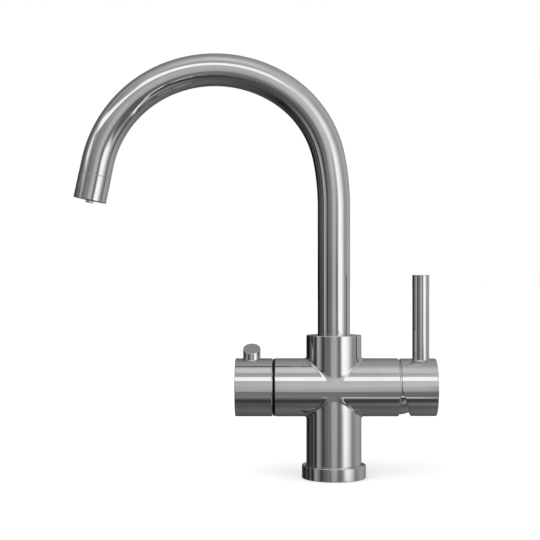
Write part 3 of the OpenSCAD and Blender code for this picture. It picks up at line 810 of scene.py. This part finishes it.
@dataclass
class SwanNeck:
    """The spout: its tube, the sleeve at its end and the small nozzle."""

    tube_r: float = 14.0
    wall: float = 1.2
    foot_z: float = 118.8
    bend_z: float = 233.0
    radii: tuple[float, ...] = (217.1, 92.0, 107.7, 101.3)
    turns: tuple[float, ...] = (11.2, 46.8, 53.2, 56.9)
    run: float = 10.5
    step_deg: float = 1.6
    edge: float = 0.25
    sleeve_l: float = 22.0
    sleeve_r: float = 14.15
    sleeve_bore: tuple[float, float] = (13.05, 17.2)
    plug: tuple[float, float] = (11.0, 6.0)
    nozzle: tuple[tuple[float, float], ...] = (
        (1.8, -14), (2.75, -14), (2.75, -6), (3.25, -6), (3.25, 2.2), (1.8, 2.2),
    )

    def tube(self) -> tuple[Blank, Matrix]:
        """Shapes the tube.

        Returns:
            The tube, and the frame of the spout's tip with +Z along the flow.
        """
        blank = Blank()
        bm = blank.bm
        for radius in (self.tube_r, self.tube_r - self.wall):
            made = bmesh.ops.create_circle(bm, segments=ROUND, radius=radius)
            bmesh.ops.translate(bm, vec=(0, 0, self.foot_z), verts=made["verts"])
        edges = bm.edges[:]
        bmesh.ops.bridge_loops(bm, edges=edges)
        edges = self.extend(bm, edges, Vector((0, 0, self.bend_z - self.foot_z)), 8)
        here, heading = Vector((0, 0, self.bend_z)), 0.0
        for radius, turn in zip(self.radii, self.turns):
            centre = here - radius * Vector((math.cos(heading), 0, math.sin(heading)))
            sweep = math.radians(turn)
            geom = [*edges, *dict.fromkeys(v for edge in edges for v in edge.verts)]
            spun = bmesh.ops.spin(
                bm, geom=geom, cent=centre, axis=(0, -1, 0), angle=sweep,
                steps=max(8, round(turn / self.step_deg)),
            )
            edges = [item for item in spun["geom_last"] if isinstance(item, bmesh.types.BMEdge)]
            heading += sweep
            here = centre + radius * Vector((math.cos(heading), 0, math.sin(heading)))
        flow = Vector((-math.sin(heading), 0, math.cos(heading)))
        edges = self.extend(bm, edges, flow * self.run, 2)
        bmesh.ops.bridge_loops(bm, edges=edges)
        blank.seal()
        end = here + flow * self.run
        blank.soften(self.edge, lambda p: (p - end).length < self.tube_r + 1)
        tip = Matrix.Translation(end + flow * self.sleeve_l) @ Matrix.Rotation(-heading, 4, "Y")
        return blank, tip

    @staticmethod
    def extend(
        bm: bmesh.types.BMesh, edges: list[bmesh.types.BMEdge], way: Vector, steps: int
    ) -> list[bmesh.types.BMEdge]:
        """Extrudes the tube's end straight on.

        Args:
            bm: The tube's bmesh.
            edges: The edges of its end.
            way: How far, and which way.
            steps: Rings that are laid on the way.

        Returns:
            The edges of the new end.
        """
        for _ in range(steps):
            edges, verts = extrude(bm, edges)
            bmesh.ops.translate(bm, vec=way / steps, verts=verts)
        return edges

    def build(self) -> None:
        """Shapes the spout's pieces and puts them in place."""
        tube, tip = self.tube()
        tube.finish("neck_tube", CHROME, Body.SPOUT, ["spout_tube"])
        start, plug_r = -self.sleeve_l, self.tube_r - self.wall - 0.05
        bore_r, bore_l = self.sleeve_bore
        inner_r, plug_l = self.plug
        sleeve = Blank().turn([
            (plug_r, start - plug_l), (plug_r, start), (self.sleeve_r, start), (self.sleeve_r, 0),
            (bore_r, 0), (bore_r, -bore_l), (inner_r, -bore_l), (inner_r, start - plug_l),
        ])
        sleeve.soften(0.3, lambda p: abs(p.z - start) < 0.1 and p.xy.length > self.tube_r)
        sleeve.soften(0.45, lambda p: p.z > -0.1)
        sleeve.place(tip).finish("outlet_sleeve", CHROME, Body.SPOUT, ["end_sleeve"])
        nozzle = Blank().turn(self.nozzle, 64)
        nozzle.soften(0.4, lambda p: p.z > 1)
        nozzle.place(tip).finish("boiling_nozzle", CHROME, Body.SPOUT, ["hot_nozzle"])


# -------------------------------------------------------------------- lever


@dataclass
class MixerLever:
    """The mixer's side: the dome, the cap that tilts over it, and the rod.

    The hub is given by its radius and its distance from the column's axis, the
    screws by their radius and distance.
    """

    pivot_x: float = 55.3
    dome_r: float = 23.4
    dome_wall: float = 1.5
    dome_base_x: float = 55.51
    dome_end_x: float = 71.4
    dome_opening_r: float = 16.0
    flange: float = 1.71
    skirt: tuple[float, float, float] = (21.45, 19.95, 3.8)
    cap_r: float = 24.85
    cap_x: float = 57.0
    cap_end_x: float = 88.0
    cavity_r: float = 23.9
    hub: tuple[float, float] = (8.0, 69.5)
    relief: float = 20.0
    edge: float = 0.7
    rim: float = 0.35
    stem_socket: tuple[float, float] = (8.3, 83.15)
    rod_r: float = 7.35
    rod_x: float = 75.1
    rod_seat: float = 23.0
    rod_top: float = 97.0
    stud: tuple[float, float] = (2.95, 5.0)
    screw: tuple[float, float] = (2.5, 79.5)
    steps: int = 192

    def dome(self) -> Blank:
        """The polished dome, open in the middle for the stem."""
        outer, inner = self.dome_r, self.dome_r - self.dome_wall
        low = math.degrees(math.asin((self.dome_base_x - self.pivot_x) / outer))
        high = math.degrees(math.asin((self.dome_end_x - self.pivot_x) / outer))
        mouth = math.degrees(math.acos(self.dome_opening_r / inner))
        outline = [
            *arc_points((0, 0), outer, low, high, 20),
            (self.dome_opening_r, self.dome_end_x - self.pivot_x),
            *arc_points((0, 0), inner, mouth, math.degrees(math.asin(self.flange / inner)), 12),
            (self.skirt[1], self.flange), (self.skirt[1], -self.skirt[2]),
            (self.skirt[0], -self.skirt[2]), (self.skirt[0], self.dome_base_x - self.pivot_x),
        ]
        return Blank().turn(outline).soften(0.25)

    def cap(self) -> Blank:
        """The cap, with a slanted lower edge that makes room for its tilt."""
        slope = math.tan(math.radians(self.relief))

        def back(angle: float) -> float:
            """How far the cap's edge stands back, for each millimetre out."""
            return max(0.0, -math.sin(angle)) * slope

        def at(angle: float, radius: float, x: float) -> Vector:
            """Point round the arm's axis; 90 degrees is up."""
            return Vector((x, radius * math.cos(angle), radius * math.sin(angle)))

        def wall(share: float) -> RingRule:
            """Ring on the outer wall, from the rim at 0 to the face at 1."""
            def rule(angle: float) -> Vector:
                """Point of the ring."""
                low = self.cap_x + self.cap_r * back(angle) + self.rim
                high = self.cap_end_x - self.edge
                return at(angle, self.cap_r, low + (high - low) * share)
            return rule

        def rounded(turn: float) -> RingRule:
            """Ring on the rounded rim, from the wall at 0 to the edge at 90 degrees."""
            def rule(angle: float) -> Vector:
                """Point of the ring."""
                radius = self.cap_r - self.rim * (1 - math.cos(turn))
                low = self.cap_x + self.cap_r * back(angle) + self.rim
                return at(angle, radius, low - self.rim * math.sin(turn))
            return rule

        def mouth(angle: float) -> float:
            """Radius at which the cavity's sphere meets the slanted edge."""
            lean, offset = back(angle), self.cap_x - self.pivot_x
            a, b, c = 1 + lean**2, 2 * lean * offset, offset**2 - self.cavity_r**2
            return (-b + math.sqrt(b * b - 4 * a * c)) / (2 * a)

        def cavity(share: float) -> RingRule:
            """Ring in the cavity, from its mouth at 0 to the hub at 1."""
            def rule(angle: float) -> Vector:
                """Point of the ring."""
                radius = mouth(angle)
                x = self.cap_x + back(angle) * radius - self.pivot_x
                start, end = math.atan2(x, radius), math.acos(self.hub[0] / self.cavity_r)
                turn = start + (end - start) * share
                depth = self.pivot_x + self.cavity_r * math.sin(turn)
                return at(angle, self.cavity_r * math.cos(turn), depth)
            return rule

        face = self.cap_end_x
        corner = self.edge
        rules: list[RingRule] = [lambda a: at(a, 0, face), lambda a: at(a, self.cap_r / 2, face)]
        rules += [
            lambda a, t=t: at(
                a, self.cap_r - corner * (1 - math.sin(t)), face - corner * (1 - math.cos(t))
            )
            for t in (math.pi / 2 * k / 6 for k in range(6))
        ]
        rules += [wall(1 - k / 10) for k in range(10)]
        rules += [rounded(math.pi / 2 * k / 5) for k in range(6)]
        rules += [cavity(k / 16) for k in range(17)]
        rules += [lambda a: at(a, *self.hub), lambda a: at(a, 0, self.hub[1])]
        blank = Blank().rings(rules, self.steps).place(on_axis(0))
        width, end = self.stem_socket
        start = self.hub[1] - 1
        socket = Blank()
        bmesh.ops.create_cube(
            socket.bm, size=1,
            matrix=on_axis((start + end) / 2) @ Matrix.Diagonal((end - start, width, width, 1)),
        )
        seat = rod(self.rod_r + 0.05, self.rod_seat, OUTSIDE, 96)
        stud_r, stud_l = self.stud
        thread = rod(stud_r + 0.05, self.rod_seat - stud_l - 0.2, self.rod_seat + 1)
        screw = rod(self.screw[0], -OUTSIDE, -2)
        up = on_axis(self.rod_x)
        return blank.cut(
            socket, seat.place(up), thread.place(up), screw.place(on_axis(self.screw[1]))
        )

    def rod(self) -> Blank:
        """The lever rod, with the stud that screws into the cap."""
        low, high = self.rod_seat, self.rod_top
        stud_r, stud_l = self.stud
        shaft = Blank().turn([
            (0, low - stud_l), (stud_r, low - stud_l), (stud_r, low), (self.rod_r, low),
            (self.rod_r, high), (0, high),
        ], 96)
        shaft.soften(0.5, lambda p: p.z > high - 0.1)
        return shaft.place(on_axis(self.rod_x))

    def build(self) -> None:
        """Shapes the lever's pieces and puts them in place."""
        dome = self.dome().place(along_x(self.pivot_x))
        dome.finish("dome", CHROME, Body.TAP, ["dome_cover"])
        self.cap().finish("lever_cap", CHROME, Body.HANDLE, ["handle_cap"])
        self.rod().finish("lever_shaft", CHROME, Body.HANDLE, ["lever_rod"])


# --------------------------------------------------------------------- knob


@dataclass
class BoilingKnob:
    """The boiling water side: the red ring, the knob and its safety button.

    A bore is given by its radius and depth, or by the height of its floor.
    """

    ring: tuple[float, float] = (24.65, 20.05)
    ring_x: tuple[float, float] = (50.9, 52.7)
    knob_r: float = 25.0
    knob_x: float = 53.0
    knob_l: float = 31.9
    edge: float = 0.7
    mouth: tuple[float, float] = (22.0, 7.1)
    bore: tuple[float, float] = (11.3, 22.8)
    spindle: tuple[float, float] = (4.05, 28.3)
    button_x: float = 70.8
    button_r: float = 7.5
    button_under: float = 19.0
    button_rise: float = 8.5
    button_slope: float = 28.0
    button_rim: float = 0.35
    button_stem_r: float = 2.5
    button_foot: float = 8.7
    button_bevel: float = 0.3
    button_wall: float = 6.0
    clip_groove: tuple[float, float, float] = (1.1, 0.6, 0.7)
    pocket: tuple[float, float] = (7.65, 15.8)
    spring_pocket: tuple[float, float] = (4.85, 12.3)
    screw: tuple[float, float] = (2.1, 78.5)

    def knob(self) -> Blank:
        """The knob, with its mouth, its bores and the button's pocket."""
        length = self.knob_l
        blank = Blank().turn([
            (0, length), (self.knob_r, length), (self.knob_r, 0), (self.mouth[0], 0), self.mouth,
            (self.bore[0], self.mouth[1]), self.bore, (self.spindle[0], self.bore[1]),
            self.spindle, (0, self.spindle[1]),
        ], 192)
        blank.soften(self.edge, lambda p: p.xy.length > self.knob_r - 0.1)
        blank.place(along_left(self.knob_x))
        up = on_axis(-self.button_x)
        floor = self.spring_pocket[1]
        return blank.cut(
            rod(self.pocket[0], self.pocket[1], OUTSIDE, 96).place(up),
            rod(self.spring_pocket[0], floor, self.pocket[1] + 1).place(up),
            rod(self.button_stem_r + 0.1, 5, floor + 1).place(up),
            rod(self.screw[0], -OUTSIDE, -2).place(on_axis(-self.screw[1])),
        )

    def button(self) -> Blank:
        """The push button, with a slanted top that shines at the user."""
        slope = math.tan(math.radians(self.button_slope))
        top, rim = self.knob_r + self.button_rise, self.button_rim

        def slanted(radius: float, drop: float) -> RingRule:
            """Rule of a ring that lies a drop below the slanted top."""
            return lambda a: Vector((
                radius * math.cos(a), radius * math.sin(a),
                top + radius * math.sin(a) * slope - drop,
            ))

        stem, foot = self.button_stem_r, self.button_foot
        above, width, depth = self.clip_groove
        low, high = foot + above, foot + above + width
        under, bevel = self.button_under, self.button_bevel
        rules = [flat_ring(*size) for size in (
            (0, foot), (stem - bevel, foot), (stem, foot + bevel), (stem, low),
            (stem - depth, low), (stem - depth, high), (stem, high), (stem, under),
            (self.button_r - bevel, under), (self.button_r, under + bevel),
            (self.button_r, top - self.button_wall),
        )]
        rules += [
            slanted(self.button_r - rim * (1 - math.cos(t)), rim * (1 - math.sin(t)))
            for t in (math.pi / 2 * k / 5 for k in range(6))
        ]
        rules += [slanted(self.button_r / 2, 0), slanted(0, 0)]
        return Blank().rings(rules, 96).place(on_axis(-self.button_x))

    def build(self) -> None:
        """Shapes the knob's pieces and puts them in place."""
        outer, inner = self.ring
        low, high = self.ring_x
        marker = Blank().turn([(inner, low), (outer, low), (outer, high), (inner, high)])
        marker.soften(0.3, lambda p: p.xy.length > outer - 0.1)
        marker.place(along_left(0)).finish("boiling_marker", RED, Body.TAP, ["red_ring"])
        self.knob().finish("boiling_knob", CHROME, Body.KNOB, ["hot_knob"])
        self.button().finish("push_button", CHROME, Body.BUTTON, ["safety_button"])


# ------------------------------------------------------------------- studio


@dataclass(frozen=True)
class Panel:
    """A bright panel or a dark card, placed by the direction it is seen in.

    Each set of edges says where the panel starts, is full, is still full and
    has ended, as a part of the direction's unit vector.
    """

    across: Edges
    height: Edges
    level: int


@dataclass
class Studio:
    """Floor, light tent, lamps and camera.

    The tent is a large dome that only mirrors see. Eight ribs run from the
    photographer's side to the far side, and each carries strips whose grey
    levels are given by the angle: 0 is where the camera stands and 180 is
    behind the tap. The cloth between two ribs is a blend of both. In front of
    it, on the photographer's side, hang bright panels, fine tubes and two dark
    cards. The mirror value is the share of light that chrome gives back, so
    that every level shows about as it is written.
    """

    centre: tuple[float, float, float] = (-0.06, 0.0, 0.18)
    radius: float = 2.5
    right: tuple[Level, ...] = (
        (0, 174), (9, 172), (15, 106), (25, 116), (34, 238), (38, 254), (48, 252), (62, 208),
        (80, 146), (88, 138), (98, 152), (112, 165), (148, 142), (174, 125), (180, 80),
    )
    over_right: tuple[Level, ...] = (
        (0, 172), (12, 186), (28, 192), (36, 230), (44, 228), (60, 186), (69, 158), (77, 145),
        (97, 170), (120, 158), (180, 80),
    )
    over: tuple[Level, ...] = (
        (0, 172), (10, 180), (44, 168), (57, 148), (63, 185), (70, 200), (80, 198), (88, 177),
        (98, 148), (125, 134), (150, 106), (180, 80),
    )
    over_left: tuple[Level, ...] = (
        (0, 165), (10, 170), (24, 152), (66, 150), (75, 128), (86, 128), (95, 160), (106, 104),
        (180, 80),
    )
    left: tuple[Level, ...] = (
        (0, 172), (13, 146), (17, 104), (38, 108), (43, 56), (50, 56), (58, 130), (70, 174),
        (81, 60), (88, 22), (93, 112), (105, 10), (113, 76), (120, 78), (127, 4), (172, 10),
        (180, 60),
    )
    under_left: tuple[Level, ...] = (
        (0, 172), (11, 156), (15, 142), (18, 106), (25, 116), (32, 78), (62, 76), (73, 64),
        (81, 36), (106, 28), (118, 44), (180, 80),
    )
    under: tuple[Level, ...] = (
        (0, 174), (11, 160), (15, 156), (17, 106), (23, 114), (36, 120), (42, 98), (47, 64),
        (56, 50), (62, 78), (80, 84), (95, 96), (118, 88), (136, 70), (180, 80),
    )
    under_right: tuple[Level, ...] = (
        (0, 174), (14, 158), (17, 138), (20, 110), (24, 92), (32, 74), (38, 90), (52, 46),
        (60, 125), (69, 172), (78, 90), (88, 64), (108, 115), (180, 80),
    )
    panels: tuple[Panel, ...] = (
        Panel((-0.50, -0.42, 0.18, 0.26), (0.445, 0.475, 0.665, 0.71), 246),
        Panel((-0.90, -0.82, -0.46, -0.38), (0.44, 0.47, 0.56, 0.61), 248),
        Panel((0.045, 0.055, 0.16, 0.22), (-0.648, -0.632, -0.612, -0.596), 225),
        Panel((-0.97, -0.955, -0.87, -0.84), (0.25, 0.30, 0.47, 0.50), 235),
        Panel((0.48, 0.61, 0.75, 0.94), (-0.28, -0.19, 0.0, 0.2), 250),
        Panel((0.28, 0.36, 0.70, 0.85), (-0.62, -0.52, -0.29, -0.23), 88),
        Panel((0.38, 0.44, 0.45, 0.71), (-0.30, -0.25, -0.165, -0.12), 118),
        Panel((0.22, 0.26, 0.40, 0.46), (-0.62, -0.60, -0.565, -0.545), 235),
        Panel((0.42, 0.47, 0.70, 0.76), (-0.69, -0.665, -0.63, -0.605), 235),
    )
    panels_fade: tuple[float, float] = (-0.15, -0.02)
    mirror: float = 0.66
    floor_grey: float = 0.84
    floor_glow: float = 0.34
    floor_size: float = 20.0
    matt_share: float = 0.72
    lights: tuple[tuple[str, tuple[float, float, float], float, float], ...] = (
        ("key_light", (0.55, 0.75, -1.0), 50, 0.8),
        ("fill_light", (-0.8, 0.7, -0.6), 60, 0.35),
    )
    camera_at: tuple[float, float, float] = (-0.0396, -1.019, 0.1702)
    frame_px: int = 540
    lens_px: float = 1180.0
    shift_px: tuple[float, float] = (-18.0, 10.0)
    sensor_mm: float = 36.0

    def tent_material(self) -> bpy.types.Material:
        """Makes the tent's light by direction.

        Returns:
            The material, with the ribs, the cloth between them and the panels.
        """
        material, tree = new_tree("studio_tent")
        place = add_node(tree, "ShaderNodeTexCoord").outputs["Object"]
        moved = add_node(
            tree, "ShaderNodeVectorMath", {"operation": "SUBTRACT"}, {0: place, 1: self.centre}
        )
        way = add_node(
            tree, "ShaderNodeVectorMath", {"operation": "NORMALIZE"}, {0: moved.outputs["Vector"]}
        )
        parts = add_node(tree, "ShaderNodeSeparateXYZ", inputs={"Vector": way.outputs["Vector"]})
        x, y, z = (parts.outputs[name] for name in "XYZ")

        def maths(operation: str, *values: object) -> bpy.types.NodeSocket:
            """Result of one operation on the values."""
            settings, inputs = {"operation": operation}, dict(enumerate(values))
            return add_node(tree, "ShaderNodeMath", settings, inputs).outputs["Value"]

        def slope(
            value: object, start: float, end: float, low: float, high: float
        ) -> bpy.types.NodeSocket:
            """Goes evenly from low to high as the value goes from start to end."""
            names = ("Value", "From Min", "From Max", "To Min", "To Max")
            values = dict(zip(names, (value, start, end, low, high)))
            return add_node(tree, "ShaderNodeMapRange", inputs=values).outputs["Result"]

        def window(value: object, edges: Edges) -> bpy.types.NodeSocket:
            """Is 1 between the middle edges and 0 beyond the outer ones."""
            rise, fall = slope(value, *edges[:2], 0, 1), slope(value, *edges[2:], 1, 0)
            return maths("MULTIPLY", rise, fall)

        ribs = (
            self.right, self.over_right, self.over, self.over_left,
            self.left, self.under_left, self.under, self.under_right,
        )
        half = len(ribs) / 2
        angle = maths("DIVIDE", maths("ARCCOSINE", maths("MULTIPLY", y, -1.0)), math.pi)
        round_about = maths("DIVIDE", maths("ARCTAN2", z, x), math.pi / half)
        total = None
        for number, levels in enumerate(ribs):
            beside = maths("WRAP", maths("SUBTRACT", round_about, number), half, -half)
            weight = maths("MAXIMUM", maths("SUBTRACT", 1, maths("ABSOLUTE", beside)), 0)
            ramp = add_node(tree, "ShaderNodeValToRGB", inputs={"Fac": angle})
            fill_ramp(ramp, [(deg / 180, linear(f"{level:02X}" * 3)) for deg, level in levels])
            share = maths("MULTIPLY", ramp.outputs["Color"], weight)
            total = share if total is None else maths("ADD", total, share)
        near = slope(y, *self.panels_fade, 1, 0)
        for panel in self.panels:
            shape = maths("MULTIPLY", window(x, panel.across), window(z, panel.height))
            cover = maths("MULTIPLY", shape, near)
            level = linear(f"{panel.level:02X}" * 3)[0]
            more = maths("MULTIPLY", maths("SUBTRACT", level, total), cover)
            total = maths("ADD", total, more)
        lamp = add_node(
            tree, "ShaderNodeEmission", inputs={"Color": total, "Strength": 1 / self.mirror}
        )
        add_node(tree, "ShaderNodeOutputMaterial", inputs={"Surface": lamp.outputs["Emission"]})
        return material

    def tent(self) -> None:
        """Puts the tent round the set."""
        blank = Blank()
        bmesh.ops.create_uvsphere(
            blank.bm, u_segments=64, v_segments=32, radius=self.radius,
            matrix=Matrix.Translation(self.centre),
        )
        bmesh.ops.reverse_faces(blank.bm, faces=blank.bm.faces[:])
        tent = blank.as_object("light_tent")
        tent.data.materials.append(self.tent_material())
        tent.visible_camera = tent.visible_diffuse = tent.visible_shadow = False
        tent.visible_transmission = False

    def floor(self) -> None:
        """Puts down a plain white floor that keeps the tap's shadow."""
        material, tree = new_tree("white_floor")
        path = add_node(tree, "ShaderNodeLightPath")
        white = (self.floor_grey, self.floor_grey, self.floor_grey, 1)
        matte = add_node(tree, "ShaderNodeBsdfDiffuse", inputs={"Color": white})
        glow = add_node(
            tree, "ShaderNodeMath", {"operation": "MULTIPLY"},
            {0: path.outputs["Is Camera Ray"], 1: self.floor_glow},
        )
        lamp = add_node(tree, "ShaderNodeEmission", inputs={"Strength": glow.outputs["Value"]})
        both = add_node(
            tree, "ShaderNodeAddShader",
            inputs={0: matte.outputs["BSDF"], 1: lamp.outputs["Emission"]},
        )
        clear = add_node(tree, "ShaderNodeBsdfTransparent")
        under = add_node(tree, "ShaderNodeNewGeometry").outputs["Backfacing"]
        shown = add_node(
            tree, "ShaderNodeMixShader",
            inputs={0: under, 1: both.outputs["Shader"], 2: clear.outputs["BSDF"]},
        )
        add_node(tree, "ShaderNodeOutputMaterial", inputs={"Surface": shown.outputs["Shader"]})
        blank = Blank()
        bmesh.ops.create_grid(
            blank.bm, x_segments=1, y_segments=1, size=self.floor_size,
            matrix=Matrix.Translation((0, 0, -0.0003)),
        )
        floor = blank.as_object("floor")
        floor.data.materials.append(material)
        floor.visible_glossy = False

    def world(self) -> None:
        """White to the camera, to mirrors and to glass; softer on matt surfaces."""
        world = bpy.data.worlds.new("studio")
        world.use_nodes = True
        tree = world.node_tree
        tree.nodes.clear()
        path = add_node(tree, "ShaderNodeLightPath")
        seen = add_node(
            tree, "ShaderNodeMath", {"operation": "MAXIMUM"},
            {0: path.outputs["Is Camera Ray"], 1: path.outputs["Is Glossy Ray"]},
        )
        shown = add_node(
            tree, "ShaderNodeMath", {"operation": "MAXIMUM"},
            {0: seen.outputs["Value"], 1: path.outputs["Is Transmission Ray"]},
        )
        strength = add_node(
            tree, "ShaderNodeMapRange",
            inputs={"Value": shown.outputs["Value"], "To Min": self.matt_share, "To Max": 1.0},
        )
        sky = add_node(
            tree, "ShaderNodeBackground",
            inputs={"Color": (1, 1, 1, 1), "Strength": strength.outputs["Result"]},
        )
        add_node(tree, "ShaderNodeOutputWorld", inputs={"Surface": sky.outputs["Background"]})
        bpy.context.scene.world = world

    def lamps(self) -> None:
        """Soft even light from the upper left, and a weaker one from the right."""
        for name, way, softness, strength in self.lights:
            data = bpy.data.lights.new(name, "SUN")
            data.angle, data.energy = math.radians(softness), strength
            lamp = bpy.data.objects.new(name, data)
            lamp.rotation_euler = Vector(way).to_track_quat("-Z", "Y").to_euler()
            lamp.visible_glossy = False
            bpy.context.scene.collection.objects.link(lamp)

    def camera(self) -> None:
        """A level camera in front of the tap, as in the photograph."""
        data = bpy.data.cameras.new("camera")
        data.sensor_width = self.sensor_mm
        data.lens = self.sensor_mm * self.lens_px / self.frame_px
        data.shift_x, data.shift_y = (shift / self.frame_px for shift in self.shift_px)
        data.clip_start = 0.05
        camera = bpy.data.objects.new("camera", data)
        camera.location = self.camera_at
        camera.rotation_euler = (math.pi / 2, 0, 0)
        bpy.context.scene.collection.objects.link(camera)
        bpy.context.scene.camera = camera

    def build(self) -> None:
        """Sets up the whole studio."""
        self.world()
        self.tent()
        self.floor()
        self.lamps()
        self.camera()
        bpy.context.scene.view_settings.view_transform = "Standard"


def dress_nodes() -> None:
    """Gives every CAD node the finish of its material slot."""
    for subpart in frame["record"]["subparts"]:
        node, coat = frame["nodes"][subpart["node"]], FINISHES[subpart["material_slot"]]
        for slot in node.material_slots:
            slot.material = coat.material()
        log.info("%s: dressed in %s", subpart["node"], coat.name)


def main() -> None:
    """Builds the studio and every sub-assembly of the tap, in order."""
    Studio().build()
    dress_nodes()
    for assembly in (Casting(), BaseRing(), SwanNeck(), MixerLever(), BoilingKnob()):
        assembly.build()


if __name__ == "__main__":
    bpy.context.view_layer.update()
    main()
